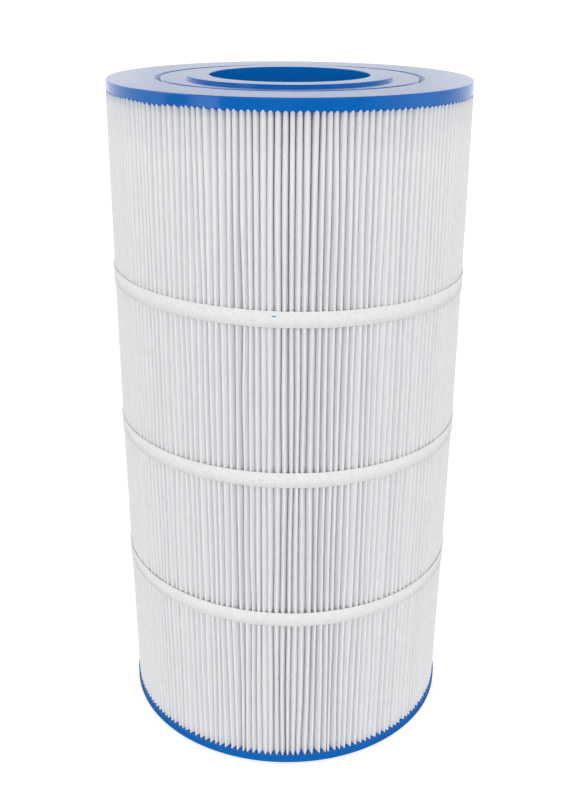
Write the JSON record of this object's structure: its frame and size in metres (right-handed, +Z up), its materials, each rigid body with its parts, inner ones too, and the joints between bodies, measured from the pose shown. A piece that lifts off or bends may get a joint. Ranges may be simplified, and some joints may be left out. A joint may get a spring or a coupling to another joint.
{
  "type": "pool filter cartridge",
  "caption": "Tall cylindrical filter cartridge: white pleated media with bands round it, glossy blue moulded end caps with a wide open bore, and a perforated inner core.",
  "frame": {"origin": "centre of the lower seal ring's resting face", "axes": "+Z up along the cartridge's axis, from the bottom cap to the top cap; the front is -Y and the sheet's seam is at the back, +Y"},
  "size_m": [0.227, 0.2274, 0.4413],
  "materials": {
    "end_cap": "glossy cast urethane, smooth and slightly wavy",
    "filter_media": "spun-bonded polyester, matt with a fine fibre texture",
    "band": "non-woven strip, matt and slightly mottled",
    "adhesive": "hot-melt adhesive, waxy",
    "core": "moulded ABS, satin"
  },
  "bodies": {
    "root": {"top_end_cap": "end_cap", "bottom_end_cap": "end_cap", "pleated_media": "filter_media", "media_seam_bond": "adhesive", "upper_band": "band", "middle_band": "band", "lower_band": "band", "core_section_1": "core", "core_section_2": "core", "core_section_3": "core", "core_section_4": "core"}
  },
  "joints": []
}
